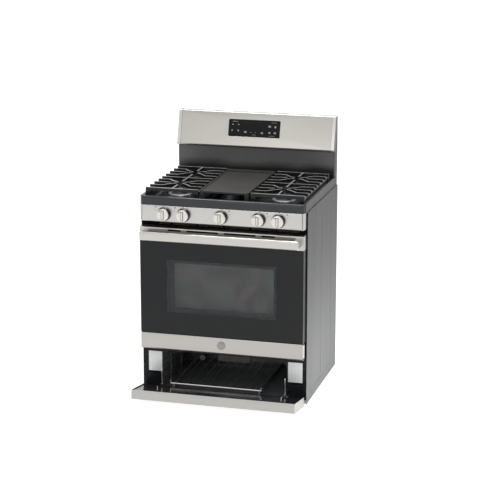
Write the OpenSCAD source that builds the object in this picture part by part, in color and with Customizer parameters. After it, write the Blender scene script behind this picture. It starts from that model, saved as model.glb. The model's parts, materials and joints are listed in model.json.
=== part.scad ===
// Freestanding gas range: 30-inch cabinet, five burners, drop-down oven door,
// drop-down broiler door (shown open), lift-off grates and griddle.
// Lengths are millimetres. +X is the right-hand side, +Y the back, +Z up.
// The modules are written with y = 0 at the closed oven door's front face;
// finish() moves every sub-part so that the origin is centred under the range.

/* [Cabinet] */
// Overall width
body_w = 759; // [757:0.5:761]
// Depth of the side panels
cabinet_d = 600; // [598:1:604]
// Front face of the cabinet's face frame, behind the doors' front plane
frame_y = 46; // [46:0.5:46.5]
// Bottom edge of the side panels above the floor
panel_z0 = 8; // [6:1:10]
// Top edge of the side panels
panel_z1 = 887; // [886:1:888]
// Thickness of the cabinet's sheet steel
sheet = 1.6; // [1.2:0.1:1.6]
// Top of the backguard console
total_h = 1207; // [1205:1:1212]

/* [Cooktop] */
// Top of the cooktop's rim
rim_z = 924; // [923:1:925]
// Spill surface under the grates
deck_z = 905; // [904:1:906]
// Top of the grates' fingers
grate_z = 952; // [951:1:954]
// Distance of the side burners from the centre line
burner_x = 240; // [239:0.5:241]
// Front row of burners
burner_front_y = 183; // [182:1:184]
// Back row of burners
burner_back_y = 415; // [414:1:416]

/* [Oven door] */
// Width of the oven door
door_w = 746; // [744:1:747]
// Bottom edge of the oven door
door_z0 = 224; // [224:0.5:225]
// Top edge of the oven door
door_z1 = 786; // [785:0.5:787]
// Depth of the closed part of the oven door in front of the face frame
door_d = 43; // [42:0.5:43]
// Height of the oven door's hinge pins
hinge_z = 241; // [241:0.5:242]
// Distance of the oven door's hinge pins behind the front plane
hinge_y = 18; // [18:0.5:18.5]

/* [Broiler door] */
// Top edge of the closed broiler door
broil_z1 = 217; // [216:0.5:218]
// Bottom edge of the closed broiler door
broil_z0 = 38; // [38:0.5:38.5]
// Opening angle at rest
broil_open = 81; // [80:0.5:81]

/* [Controls] */
// Height of the knobs' axes
knob_z = 849; // [848:1:850]
// Radius of a knob's skirt
knob_r = 31; // [30:0.5:31.5]
// Radius of a valve stem
stem_r = 3.95; // [3.93:0.01:3.97]

/* [Hidden] */
$fn = 48;
KNOB_X = [-259, -170, 0, 170, 259];

// Colours
black_enamel = [0.03, 0.03, 0.035];
porcelain = [0.06, 0.06, 0.065];
stainless = [0.72, 0.71, 0.69];
grey_paint = [0.47, 0.48, 0.48];
zinc = [0.62, 0.63, 0.64];
cast_black = [0.07, 0.07, 0.07];
aluminium = [0.68, 0.68, 0.68];
chrome = [0.8, 0.8, 0.8];
black_glass = [0.02, 0.02, 0.025, 0.9];
clear_glass = [0.5, 0.55, 0.55, 0.4];

// Cabinet
hw = body_w / 2;
in_w = hw - sheet;
back_y = frame_y + cabinet_d;
frame_t = 4;
frame_back = frame_y + frame_t;
mouth_w = 305;
mouth_z0 = 262;
mouth_z1 = 752;
cavity_back = 526;
broil_mouth_w = 289;
broil_mouth_z1 = 205;
broil_floor_z = 28;
broil_back = 520;
liner_t = 1.6;
panel_w = 373;
end_r = 20;
front_z0 = 812;
side_top = 882.5;
rear_y = 640;
leg_x = 340;
leg_y = [90, 606];
leg_r = 6;
// Half the height of an oven door hinge's tongue
tongue_half = 11;

// Gas train
inlet = [345, 640, 60];
valve_y = [38, 70];
manifold_y = 81;
manifold_r = 11;
burner_tube = [-115, 170];
spreader_z = 197;

// Cooktop
cook_w = 372;
cook_end_r = 18;
trim_w = 375.5;
cap_r = 40;
oval_y = 270;
oval_r = 38;
oval_half = 97;
finger_w = 8;
finger_h = 14;
rail_z = 922;
grate_hw = 121;
griddle_hw = 112;

// Console, as centres of its rounded corners in (y, z)
console_z0 = 1046;
console_front_y = 573;
console_top_y = 613;
console_r = 9;
console_tilt = atan((console_top_y - console_front_y) / (total_h - console_z0));
console_w = 360;
// How far the end caps stand proud of the console panel
cap_proud = 1.3;
// Depth of the display glass's back behind the end caps' sloping face
glass_back = cap_proud + 2.8;
// Depth of an end cap, from the sloping face backwards
cap_depth = 33;
guard_y = 598;
guard_w = 370;
cover_y = 622;
display_x = -8;
display_half = 122.5;
display_s = [52, 131];

// Oven door
dw = door_w / 2;
shell_y = 30;
band_z = 719;
trim_z = 301;
window_w = 232;
window_z0 = 408;
window_z1 = 622;
plug_y = 70;
plug_gap = 10;
hinge_x = 330;
pin_r = 4;
run_gap = 0.06;
handle_x = 359;
handle_y = [-52, -35];
handle_z = [735, 775];

// Broiler door
broil_pivot = [32, 35];
ear_x0 = 290.5;
ear_x1 = 295.5;
arm_x0 = 284.5;
arm_x1 = 287.5;
broil_pin_r = 3;
edge_r = 4;

// Racks
rack_levels = [369, 431, 489.5, 548, 606.5];
rack_r = 3.2;
broil_rack_z = 54;

// The range's middle in depth, from the back to the open broiler door's front edge
broil_corner = [edge_r - broil_pivot.x, broil_z1 - edge_r - broil_pivot.y];
open_front = broil_pivot.x + broil_corner.x * cos(broil_open) - broil_corner.y * sin(broil_open) - edge_r;
y_mid = (back_y + open_front) / 2;

// ---- helpers ----

module finish(c) { color(c) translate([0, -y_mid, 0]) children(); }

// Box between two corners
module block(lo, hi) { translate(lo) cube(hi - lo); }

// A (y, z) outline swept from x0 to x1
module along_x(x0, x1) { translate([x0, 0, 0]) rotate([90, 0, 90]) linear_extrude(x1 - x0) children(); }

// An (x, z) outline swept from y0 to y1
module along_y(y0, y1) { translate([0, y1, 0]) rotate([90, 0, 0]) linear_extrude(y1 - y0) children(); }

// The children and their mirror image on the other side
module both_sides() {
    children();
    mirror([1, 0, 0]) children();
}

// Round bar between two points
module rod(p, q, r) {
    d = q - p;
    translate(p)
        rotate([0, atan2(norm([d.x, d.y]), d.z), atan2(d.y, d.x)])
            cylinder(h = norm(d), r = r, $fn = 24);
}

// Round bar along a list of points, with ball joints at the bends
module wire(points, r) {
    for (i = [0:len(points) - 2]) rod(points[i], points[i + 1], r);
    for (i = [1:len(points) - 2]) translate(points[i]) sphere(r, $fn = 24);
}

// Direction, less 90 degrees, from one point to the next
function outward(p, q) = atan2(q.y - p.y, q.x - p.x) - 90;

// Convex outline around corner centres listed anticlockwise
function rounded(c, r, n = 6) = [for (i = [0:len(c) - 1])
    let (a0 = outward(c[(i + len(c) - 1) % len(c)], c[i]),
         a1 = outward(c[i], c[(i + 1) % len(c)]),
         sweep = ((a1 - a0) % 360 + 360) % 360)
    for (k = [0:n]) c[i] + r * [cos(a0 + sweep * k / n), sin(a0 + sweep * k / n)]];

// Corner centres of a rectangle for rounded()
function box_centres(lo, hi, r) = [[lo.x + r, lo.y + r], [hi.x - r, lo.y + r],
    [hi.x - r, hi.y - r], [lo.x + r, hi.y - r]];

module round_rect(lo, hi, r) { polygon(rounded(box_centres(lo, hi, r), r)); }

// ---- cabinet ----

module side_panel() {
    field_depth = 0.8;
    field_r = 24;
    difference() {
        block([in_w, frame_y, panel_z0], [hw, back_y, side_top]);
        for (f = [[89, 329], [333, 524]])
            translate([hw - field_depth, 0, 0])
                along_x(0, 2) round_rect([f[0], 52], [f[1], 852], field_r);
    }
    // folded back edge
    block([hw - 14, back_y - sheet, panel_z0], [in_w, back_y, side_top]);
    // folded top edge
    block([hw - 14, frame_back, side_top - sheet], [in_w, back_y - sheet, side_top]);
}

module side_panel_right() { finish(grey_paint) side_panel(); }

module side_panel_left() { finish(grey_paint) mirror([1, 0, 0]) side_panel(); }

module back_panel() {
    finish(zinc) difference() {
        block([-364, rear_y, 30], [364, rear_y + sheet, panel_z1]);
        // clearance round the gas inlet
        along_y(rear_y - 1, back_y) translate([inlet.x - 42, inlet.z]) circle(r = 26);
        // cooling slots
        for (x = [-260:40:260], z = [120, 800])
            block([x - 3.5, rear_y - 1, z], [x + 3.5, back_y, z + 50]);
    }
}

module base_frame() {
    z0 = 10;
    z1 = 27;
    finish(zinc) difference() {
        block([-in_w, frame_back, z0], [in_w, rear_y, z1]);
        block([-in_w + sheet, frame_back + sheet, z0 - 1], [in_w - sheet, rear_y - sheet, z1 - sheet]);
        block([-278, 110, z0], [278, 580, z1 + 1]);
        for (x = [-leg_x, leg_x], y = leg_y)
            translate([x, y, z0]) cylinder(h = z1, r = leg_r + 0.1);
    }
}

module leveling_legs() {
    finish(zinc) for (x = [-leg_x, leg_x], y = leg_y)
        translate([x, y, 0]) {
            cylinder(h = 5, r1 = 19, r2 = 17);
            translate([0, 0, 5]) cylinder(h = 4, r = 10, $fn = 6);
            translate([0, 0, 9]) cylinder(h = 32, r = leg_r);
        }
}

module front_frame() {
    corner_r = 45;
    pocket_depth = 2.4;
    finish(black_enamel) difference() {
        block([-in_w, frame_y, 27], [in_w, frame_back, front_z0 - 1]);
        along_y(frame_y - 1, frame_back + 1) {
            round_rect([-mouth_w, mouth_z0], [mouth_w, mouth_z1], 12);
            translate([-broil_mouth_w, 30])
                square([2 * broil_mouth_w, broil_mouth_z1 - corner_r - 30]);
            round_rect([-broil_mouth_w, 60], [broil_mouth_w, broil_mouth_z1], corner_r);
        }
        // vents between the control panel and the oven door
        for (x = [-300:120:300]) block([x - 56, frame_y - 1, 790], [x + 56, frame_back + 1, 808]);
        both_sides() {
            block([hinge_x - 4.5, frame_y - 1, hinge_z - tongue_half - 1.5],
                [hinge_x + 4.5, frame_back + 1, hinge_z + tongue_half + 1.5]);
            // embossed pocket below the rating label, with a rib across it
            along_y(frame_y - 1, frame_y + pocket_depth) difference() {
                round_rect([296, 34], [360, 97], 8);
                round_rect([304, 62], [352, 68], 2.9);
            }
        }
    }
}

module door_gasket() {
    y0 = 43.4;
    finish([0.16, 0.16, 0.16]) along_y(y0, frame_y) difference() {
        round_rect([-mouth_w - 17, mouth_z0 - 9], [mouth_w + 17, mouth_z1 + 14], 16);
        round_rect([-mouth_w - 8, mouth_z0 - 2], [mouth_w + 8, mouth_z1 + 5], 12);
    }
}

module oven_liner() {
    o = mouth_w + liner_t;
    finish(porcelain) {
        difference() {
            block([-o, frame_back, mouth_z0 - liner_t], [o, cavity_back + liner_t, mouth_z1 + liner_t]);
            block([-mouth_w, frame_y, mouth_z0], [mouth_w, cavity_back, mouth_z1]);
            // burner opening under the oven floor
            block([-230, 110, mouth_z0 - 5], [230, 470, mouth_z0 + 1]);
            translate([220, 0, 700]) along_y(500, 540) circle(r = 3.4);
            translate([-220, 0, 700]) along_y(500, 540) circle(r = 20.2);
        }
        // rack ledges
        both_sides() for (z = rack_levels)
            block([mouth_w - 9, 84, z - rack_r - 8], [mouth_w, 522, z - rack_r - 0.3]);
    }
}

module oven_insulation() {
    gap = 1;
    wool = 18;
    i = mouth_w + liner_t + gap;
    top = mouth_z1 + liner_t + gap;
    back = cavity_back + liner_t + gap;
    finish([0.85, 0.8, 0.6]) difference() {
        block([-i - wool, frame_back + 2, mouth_z0], [i + wool, back + wool, top + wool]);
        block([-i, frame_back, mouth_z0 - 1], [i, back, top]);
        translate([220, 0, 700]) along_y(500, 560) circle(r = 5);
        translate([-220, 0, 700]) along_y(500, 560) circle(r = 27);
    }
}

module oven_floor() {
    finish(porcelain) difference() {
        block([-292, 80, mouth_z0], [292, 515, mouth_z0 + liner_t]);
        for (side = [-1, 1], k = [0:9])
            block([side * 272 - 5, 110 + 38 * k, mouth_z0 - 1],
                [side * 272 + 5, 136 + 38 * k, mouth_z0 + 3]);
        for (x = [-120, 120])
            translate([x, 100, mouth_z0 - 1]) cylinder(h = 4, r = 9);
    }
}

module oven_lamp() {
    finish([0.9, 0.88, 0.8]) translate([-220, 0, 700]) {
        along_y(cavity_back - 2, 545) circle(r = 19.8);
        along_y(cavity_back - 6, cavity_back - 2) circle(r = 25);
        translate([0, cavity_back - 6, 0]) rotate([90, 0, 0]) cylinder(h = 16, r1 = 21, r2 = 14);
    }
}

module temperature_probe() {
    finish(chrome) translate([220, 0, 700]) {
        along_y(cavity_back - 110, 545) circle(r = 3.2);
        along_y(cavity_back - 2, cavity_back) difference() {
            round_rect([-16, -8], [16, 8], 3);
            circle(r = 3.2);
        }
    }
}

module oven_burner() {
    finish(zinc) {
        // perforated tube along the depth of the compartment
        difference() {
            along_y(96, 500) translate(burner_tube) circle(r = 13);
            along_y(98, 505) translate(burner_tube) circle(r = 11.6);
            for (y = [120:24:456])
                translate([burner_tube.x - 20, y, burner_tube.y]) rotate([0, 90, 0])
                    cylinder(h = 40, r = 1.6);
        }
        // strap that hangs the tube from the spreader
        block([burner_tube.x - 10, 296, burner_tube.y + 12], [burner_tube.x + 10, 304, spreader_z]);
        // front mounting bracket
        along_y(106, 108) difference() {
            translate([-44, 158]) square([148, spreader_z - 158]);
            translate([82, 178]) circle(r = 3);
        }
    }
}

module flame_spreader() {
    z0 = spreader_z;
    finish(aluminium) {
        along_x(-180, 65) polygon([[100, z0 - 9], [101.5, z0 - 9], [104, z0], [450, z0], [450, z0 + 1.6],
            [103, z0 + 1.6]]);
        // hangers up to the oven floor
        for (y = [160, 400]) block([-140, y, z0 + 1], [20, y + liner_t, mouth_z0]);
    }
}

module broiler_liner() {
    o = broil_mouth_w + 3;
    top = 256;
    rail_x = [-239, 161];
    finish(black_enamel) {
        difference() {
            block([-o, frame_back, broil_floor_z], [o, broil_back, top]);
            block([-o + liner_t, frame_y, broil_floor_z + liner_t],
                [o - liner_t, broil_back - liner_t, top + 1]);
        }
        // stiffening ribs pressed into the side walls
        both_sides() for (y = [170, 330])
            along_z(broil_floor_z + liner_t, 200)
                round_rect([o - liner_t - 5, y], [o - liner_t, y + 14], 2.4);
        // rails on the floor that carry the broiler rack
        for (x = rail_x)
            block([x - 6, 54, broil_floor_z + liner_t], [x + 6, 505, broil_rack_z - 3.3]);
    }
}

// An (x, y) outline swept from z0 to z1
module along_z(z0, z1) { translate([0, 0, z0]) linear_extrude(z1 - z0) children(); }

module hinge_sockets() {
    finish(zinc) both_sides() {
        // oven door: tongue with the pin's bore, and the box that holds it
        along_x(hinge_x - 3, hinge_x + 3) difference() {
            union() {
                translate([hinge_y, hinge_z]) circle(r = tongue_half);
                translate([hinge_y, hinge_z - tongue_half]) square([60, 2 * tongue_half]);
            }
            translate([hinge_y, hinge_z]) circle(r = pin_r + run_gap);
        }
        difference() {
            block([hinge_x - 12, frame_back, hinge_z - 15], [hinge_x + 12, 106, hinge_z + 15]);
            block([hinge_x - 3, frame_y, hinge_z - tongue_half],
                [hinge_x + 3, hinge_y + 60, hinge_z + tongue_half]);
        }
        // broiler door: ear on the face frame
        along_x(ear_x0, ear_x1) difference() {
            union() {
                translate(broil_pivot) circle(r = 8);
                translate([broil_pivot.x, broil_pivot.y - 8]) square([frame_y - broil_pivot.x, 16]);
            }
            translate(broil_pivot) circle(r = broil_pin_r + run_gap);
        }
    }
}

// ---- controls ----

module control_panel() {
    r = 5;
    t = sheet;
    top = panel_z1 - 1;
    finish(stainless) difference() {
        intersection() {
            along_x(-panel_w, panel_w) difference() {
                round_rect([0, front_z0], [frame_y + 10, top], r);
                translate([frame_y, front_z0 - 1]) square([20, 100]);
            }
            along_z(front_z0 - 1, top + 1) round_rect([-panel_w, 0], [panel_w, 2 * frame_y], end_r);
        }
        intersection() {
            along_x(-panel_w, panel_w) round_rect([t, front_z0 + t], [frame_y + 10, top - t], r - t);
            along_z(front_z0, top) round_rect([-panel_w + t, t], [panel_w - t, 2 * frame_y], end_r - t);
        }
        for (x = KNOB_X) translate([x, 0, knob_z]) along_y(-1, 5) circle(r = 8);
    }
}

function burner_feed(i) = [[-burner_x, burner_back_y], [-burner_x, burner_front_y], [0, 190],
    [burner_x, burner_front_y], [burner_x, burner_back_y]][i];

module gas_manifold() {
    feed_z = 879;
    tube_r = 3.2;
    finish(zinc) {
        rod([-330, manifold_y, knob_z], [inlet.x, manifold_y, knob_z], manifold_r);
        rod([-336, manifold_y, knob_z], [-330, manifold_y, knob_z], manifold_r + 2);
        // tubes from the valves to the burners, with a fitting at the bend
        for (i = [0:4]) {
            start = [KNOB_X[i], 58, feed_z];
            bend = [start.x, 112, feed_z];
            b = burner_feed(i);
            translate([start.x, start.y, knob_z + 15])
                cylinder(h = feed_z - knob_z - 12, r = 4.5, $fn = 24);
            rod(start, bend, tube_r);
            translate(bend) sphere(5, $fn = 24);
            rod(bend, [b.x, b.y - 22, feed_z], tube_r);
        }
    }
}

module burner_valves() {
    finish([0.72, 0.6, 0.32]) for (i = [0:4])
        translate([KNOB_X[i], 0, knob_z]) difference() {
            union() {
                block([-11, valve_y[0] + 10, -13], [11, valve_y[1], 13]);
                along_y(valve_y[0], valve_y[0] + 10) circle(r = 10);
                block([-9, 52, 12], [9, 64, 15]);
            }
            along_y(valve_y[0] - 1, 54) circle(r = stem_r + run_gap);
        }
}

module valve_stem(i) {
    tip_y = -17;
    finish([0.75, 0.68, 0.45]) translate([KNOB_X[i - 1], 0, knob_z]) {
        along_y(tip_y, 47) circle(r = stem_r);
        // spring seat
        along_y(29, 32) circle(r = 6.4);
    }
}

module valve_stem_1() { valve_stem(1); }

module valve_stem_2() { valve_stem(2); }

module valve_stem_3() { valve_stem(3); }

module valve_stem_4() { valve_stem(4); }

module valve_stem_5() { valve_stem(5); }

module knob(i) {
    base_y = -3.4;
    face_y = -27;
    grip_y = -32;
    finish([0.75, 0.73, 0.68]) translate([KNOB_X[i - 1], 0, knob_z]) difference() {
        union() {
            // skirt and crowned body, turned about the stem's axis
            rotate([90, 0, 0]) rotate_extrude($fn = 64) polygon([[0, -base_y], [knob_r, -base_y],
                [knob_r, -base_y + 3], [knob_r - 1.2, -base_y + 5.5], [knob_r - 2.6, -face_y - 3],
                [knob_r - 5, -face_y], [0, -face_y + 0.6]]);
            // grip bar
            along_y(grip_y, face_y + 4) round_rect([-4.5, -knob_r + 3.2], [4.5, knob_r - 3.2], 4.2);
        }
        along_y(-17.3, 0) circle(r = stem_r + run_gap);
    }
}

module knob_1() { knob(1); }

module knob_2() { knob(2); }

module knob_3() { knob(3); }

module knob_4() { knob(4); }

module knob_5() { knob(5); }

module gas_regulator() {
    bore_r = 9.3;
    reg = [inlet.x - 42, 600, inlet.z];
    finish(aluminium) {
        difference() {
            union() {
                translate([reg.x, 590, reg.z]) cylinder(h = 34, r = 30, center = true);
                translate([reg.x, 0, reg.z]) along_y(600, inlet.y) circle(r = 16);
                translate([reg.x, 590, reg.z]) cylinder(h = 48, r = 12);
            }
            translate([reg.x, 0, reg.z]) along_y(inlet.y - 18, inlet.y + 1) circle(r = bore_r);
        }
        // supply pipe up the side and forward to the manifold
        wire([[reg.x + 28, 590, inlet.z], [inlet.x + 4, 590, inlet.z], [inlet.x + 4, 590, knob_z],
            [inlet.x + 4, manifold_y + 14, knob_z]], 7);
        rod([inlet.x, manifold_y, knob_z], [inlet.x + 10, manifold_y, knob_z], manifold_r + 3);
        rod([inlet.x + 4, manifold_y + 13, knob_z], [inlet.x + 4, manifold_y + 19, knob_z], 8.5);
    }
}

// ---- cooktop ----

module cooktop() {
    t = 2.4;
    y0 = 5;
    well_w = 362;
    well = [27, 590];
    r = 11;
    side_z = rim_z - 2;
    finish(black_enamel) difference() {
        intersection() {
            along_x(-cook_w, cook_w)
                polygon(concat([[y0, panel_z1], [guard_y, panel_z1], [guard_y, side_z]],
                    [for (a = [90:15:180]) [y0 + r + r * cos(a), rim_z - r + r * sin(a)]]));
            along_z(panel_z1 - 1, rim_z + 1) round_rect([-cook_w, y0], [cook_w, guard_y + 60], cook_end_r);
        }
        block([-well_w, well[0], deck_z], [well_w, well[1], rim_z + 10]);
        difference() {
            along_z(panel_z1 - 1, rim_z - r)
                round_rect([-cook_w + t, y0 + t], [cook_w - t, guard_y - t], cook_end_r - t);
            block([-well_w - t, well[0] - t, deck_z - t], [well_w + t, well[1] + t, rim_z]);
        }
        for (x = [-burner_x, burner_x], y = [burner_front_y, burner_back_y])
            translate([x, y, deck_z - 9]) cylinder(h = 18, r = 27);
        oval_prism(deck_z - 9, deck_z + 9, 20, oval_half - 10);
    }
}

// Long round-ended prism under the griddle
module oval_prism(z0, z1, r, half) {
    translate([0, oval_y, 0]) along_z(z0, z1) polygon(rounded([[0, -half], [0.001, half]], r, 16));
}

module cooktop_side_trims() {
    y0 = 25;
    z0 = 884;
    top = rim_z - 1;
    finish(grey_paint) both_sides() difference() {
        block([cook_w, y0, z0], [trim_w, back_y, top]);
        block([cook_w - 1, y0 + sheet, z0 - 1], [trim_w - sheet, back_y + 1, top - sheet]);
    }
}

module burner_heads() {
    finish(aluminium) {
        for (x = [-burner_x, burner_x], y = [burner_front_y, burner_back_y])
            translate([x, y, 0]) difference() {
                union() {
                    translate([0, 0, deck_z]) cylinder(h = 3, r1 = 54, r2 = 51);
                    translate([0, 0, deck_z + 3]) cylinder(h = 11, r = 36);
                    translate([0, 0, deck_z - 20]) cylinder(h = 20, r = 24);
                }
                translate([0, 0, deck_z - 21]) cylinder(h = 26, r = 8);
                translate([44, 0, deck_z - 1]) cylinder(h = 10, r = 3.6);
            }
        difference() {
            union() {
                oval_prism(deck_z, deck_z + 3, oval_r + 8, oval_half);
                oval_prism(deck_z + 3, deck_z + 14, oval_r - 4, oval_half);
                oval_prism(deck_z - 18, deck_z, 17, oval_half - 14);
            }
            translate([0, 190, deck_z - 21]) cylinder(h = 26, r = 8);
            translate([oval_r + 2, oval_y, deck_z - 1]) cylinder(h = 10, r = 3.6);
        }
    }
}

module burner_caps() {
    z0 = deck_z + 14;
    finish(porcelain) {
        for (x = [-burner_x, burner_x], y = [burner_front_y, burner_back_y])
            translate([x, y, z0]) rotate_extrude($fn = 64)
                polygon([[0, 0], [cap_r - 1, 0], [cap_r, 1.5], [cap_r, 4], [cap_r - 3, 6.5], [0, 7.5]]);
        oval_prism(z0, z0 + 6, oval_r, oval_half);
    }
}

module igniters() {
    places = concat([for (x = [-burner_x, burner_x], y = [burner_front_y, burner_back_y]) [x + 44, y]],
        [[oval_r + 2, oval_y]]);
    finish([0.92, 0.91, 0.88]) for (p = places)
        translate([p.x, p.y, deck_z]) {
            cylinder(h = 12, r = 3.2, $fn = 24);
            translate([0, 0, 12]) cylinder(h = 4, r = 1, $fn = 24);
        }
}

// Straight finger along x at height y, between two distances from the grate's centre line
module finger(x0, x1, y) {
    block([x0, y - finger_w / 2, grate_z - finger_h], [x1, y + finger_w / 2, grate_z]);
}

// Bar with round ends between two (x, y) points, at finger height
module slant(p, q) {
    along_z(grate_z - finger_h, grate_z) polygon(rounded([p, q], finger_w / 2 - 0.1, 8));
}

// One grate about its own centre line: two burners, open centres
module grate() {
    y_front = 61;
    y_back = 537;
    bend = 66;
    tip = 14;
    w = grate_hw;
    foot = 11;
    // side rails and feet
    both_sides() {
        block([w - 12, y_front - 6, rail_z], [w - 4, y_back + 4, grate_z - finger_h]);
        for (y = [y_front, y_back])
            block([w - foot * 2, y - foot + 4, deck_z], [w, y + foot - 4, grate_z - finger_h]);
    }
    // full bars: front, middle and back
    block([-w, y_front - 6, grate_z - finger_h], [w, y_front + 6, grate_z]);
    finger(-w, w, (burner_front_y + burner_back_y) / 2 - 2);
    finger(-w, w, y_back);
    for (yb = [burner_front_y, burner_back_y]) both_sides() {
        finger(44, w, yb);
        for (s = [-1, 1]) {
            finger(bend, w, yb + s * 61);
            slant([bend, yb + s * 61], [tip + 20, yb + s * 24]);
            slant([tip + 20, yb + s * 24], [tip, yb + s * 11]);
        }
    }
    // spine, broken over each burner
    for (span = [[y_front, burner_front_y - 42], [burner_front_y + 34, burner_back_y - 42],
            [burner_back_y + 34, y_back]])
        block([-finger_w / 2, span[0], grate_z - finger_h], [finger_w / 2, span[1], grate_z]);
}

module grate_left() { finish(cast_black) translate([-burner_x, 0, 0]) grate(); }

module grate_right() { finish(cast_black) translate([burner_x, 0, 0]) grate(); }

module griddle() {
    y0 = 50;
    y1 = 528;
    under = 944;
    top = 953.5;
    floor_z = 950.5;
    lip = 7;
    leg_w = 19;
    gutter = [482, 498];
    finish([0.32, 0.31, 0.29]) {
        difference() {
            along_z(under, top) round_rect([-griddle_hw, y0], [griddle_hw, y1], 7);
            // cooking face, open at the front, with a gutter behind it
            along_z(floor_z, top + 1)
                round_rect([-griddle_hw + lip, y0 - 20], [griddle_hw - lip, gutter[1]], 8);
            along_z(floor_z - 2.5, top) round_rect([-griddle_hw + lip + 3, gutter[0]],
                [griddle_hw - lip - 3, gutter[1] - 2], 6);
        }
        // legs and stiffening skirts
        both_sides() {
            for (y = [y0 + 3, y1 - 10])
                block([griddle_hw - 1 - leg_w, y, deck_z], [griddle_hw - 1, y + 7, under + 1]);
            block([griddle_hw - 4, y0 + 9, under - 8], [griddle_hw - 1, y1 - 9, under + 1]);
        }
    }
}

// ---- backguard and console ----

module backguard_lower() {
    top = console_z0 - 2;
    r = 5;
    finish(black_enamel) difference() {
        intersection() {
            along_x(-guard_w, guard_w) difference() {
                round_rect([guard_y, panel_z1 - 20], [cover_y + 20, top], r);
                translate([cover_y, panel_z1 - 21]) square([21, 200]);
            }
            along_y(guard_y, cover_y) round_rect([-guard_w, panel_z1 - 40], [guard_w, top], 7);
            block([-guard_w, guard_y, panel_z1], [guard_w, cover_y, top]);
        }
        block([-guard_w + sheet, guard_y + 2, panel_z1 - 1],
            [guard_w - sheet, cover_y + 1, top - r]);
    }
}

module backguard_rear_cover() {
    z0 = rim_z;
    z1 = console_z0 - 0.4;
    finish(grey_paint) {
        difference() {
            block([-trim_w, cover_y, z0], [trim_w, back_y, z1]);
            block([-trim_w + sheet, cover_y - 1, z0 - 1], [trim_w - sheet, back_y - sheet, z1 - 2]);
            for (x = [-280:40:280]) block([x - 12, back_y - 3, 960], [x + 12, back_y + 1, 966]);
        }
        both_sides() {
            // cheek beside the lower backguard
            block([guard_w + 0.3, guard_y + 2, z0], [trim_w, cover_y + 1, z1]);
            // cheek behind the console's end cap
            along_x(console_w + 0.3, trim_w) difference() {
                union() {
                    console_outline(0);
                    translate([cover_y + 0.3, z1 - 6]) square([back_y - cover_y - 0.3, 20]);
                }
                end_cap_zone(0.3);
            }
        }
    }
}

// Corner centres of the console's outline: bottom front, bottom back, top back, top front
function console_centres() = [[console_front_y + console_r, console_z0 + console_r],
    [back_y - console_r, console_z0 + console_r], [back_y - console_r, total_h - console_r],
    [console_top_y + console_r, total_h - console_r]];

module console_outline(inset) { polygon(rounded(console_centres(), console_r - inset, 8)); }

// The part of that outline in front of a line parallel to the sloping face
module end_cap_zone(gap) {
    slope = (console_top_y - console_front_y) / (total_h - console_z0);
    reach = 40;
    y = console_front_y + cap_depth + gap;
    polygon([[console_front_y - reach, console_z0 - reach], [y - slope * reach, console_z0 - reach],
        [y + slope * (total_h + reach - console_z0), total_h + reach],
            [console_front_y - reach, total_h + reach]]);
}

// Frame on the console's sloping face: x across, y into the panel, z up the slope
module on_console() {
    translate([0, console_front_y, console_z0]) rotate([-console_tilt, 0, 0]) children();
}

module console_panel() {
    gap = 0.5;
    finish(stainless) difference() {
        along_x(-console_w, console_w) difference() {
            console_outline(cap_proud);
            console_outline(cap_proud + sheet);
        }
        on_console() along_y(-12, 12) round_rect([display_x - display_half - gap, display_s[0] - gap],
            [display_x + display_half + gap, display_s[1] + gap], 5);
    }
}

module console_end_caps() {
    finish([0.6, 0.6, 0.59]) both_sides() along_x(console_w, trim_w) intersection() {
        console_outline(0);
        end_cap_zone(0);
    }
}

module display_glass() {
    finish([0.02, 0.02, 0.02]) on_console() along_y(cap_proud - 0.4, glass_back)
        round_rect([display_x - display_half, display_s[0]], [display_x + display_half, display_s[1]], 5);
}

module control_board() {
    finish([0.1, 0.35, 0.2]) on_console() translate([display_x, 0, 0]) {
        block([-112, 12, 62], [112, 13.6, 126]);
        for (x = [-80, -20, 50]) block([x, 13.6, 80], [x + 24, 26, 108]);
        for (x = [-104, 104]) translate([x, 0, 68]) along_y(glass_back, 12) circle(r = 3, $fn = 24);
    }
}

module screws() {
    head = 4;
    finish(chrome) {
        for (x = [-340, -120, 120, 340], z = [230, 460, 690])
            translate([x, 0, z]) along_y(rear_y + sheet, rear_y + sheet + 2.4) circle(r = head, $fn = 24);
        // screws that hold the lower backguard to the cooktop's rim
        for (x = [-345, 345]) translate([x, 0, 936])
            along_y(guard_y - 2, guard_y) circle(r = head, $fn = 24);
    }
}

// ---- oven door ----

module hinge_notch(half) {
    both_sides() block([hinge_x - half, 5.5, door_z0 - 1], [hinge_x + half, door_d + 1, hinge_z + 17]);
}

module door_frame() {
    y0 = 4.2;
    finish(black_enamel) difference() {
        along_x(-dw + 2.2, dw - 2.2) round_rect([y0, door_z0 + 2.2], [shell_y, door_z1 - 2.2], 6);
        along_y(0, shell_y + 1)
            round_rect([-window_w - 20, window_z0 - 24], [window_w + 20, window_z1 + 24], 6);
        // hollow sides, top and bottom
        for (x = [[-dw + 22, -window_w - 30], [window_w + 30, dw - 22]])
            block([x[0], y0 + sheet, 290], [x[1], shell_y - sheet, 760]);
        block([-window_w - 20, y0 + sheet, 672], [window_w + 20, shell_y - sheet, 770]);
        block([-window_w - 20, y0 + sheet, 262], [window_w + 20, shell_y - sheet, 372]);
        hinge_notch(9);
    }
}

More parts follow.
